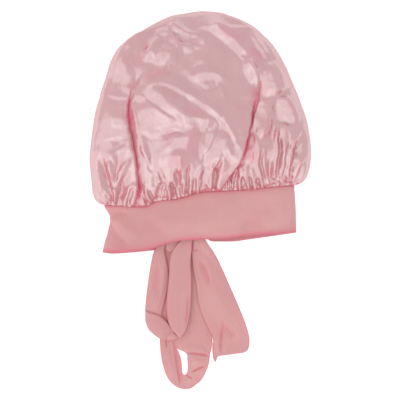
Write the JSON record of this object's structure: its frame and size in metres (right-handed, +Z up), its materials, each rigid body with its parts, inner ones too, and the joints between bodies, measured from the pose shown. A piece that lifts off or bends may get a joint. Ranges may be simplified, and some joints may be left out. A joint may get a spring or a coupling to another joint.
{
  "type": "sleep bonnet",
  "caption": "Soft gathered satin sleep bonnet with a wide folded jersey band and long jersey ties in a bow at the nape, lying flat on its back.",
  "frame": {"origin": "middle of the bounding box's footprint, on the surface that the bonnet lies on", "axes": "+X to the right in the picture, +Y from the bow towards the top of the crown, +Z up, away from the surface"},
  "size_m": [0.2992, 0.5171, 0.0617],
  "materials": {
    "satin": "glossy pink satin weave",
    "jersey": "matt pink knitted jersey"
  },
  "bodies": {
    "root": {"crown": "satin", "band": "jersey", "bow_knot": "jersey", "bow_loop_left": "jersey", "bow_loop_centre": "jersey", "tail_long": "jersey", "tail_wide": "jersey"}
  },
  "joints": []
}
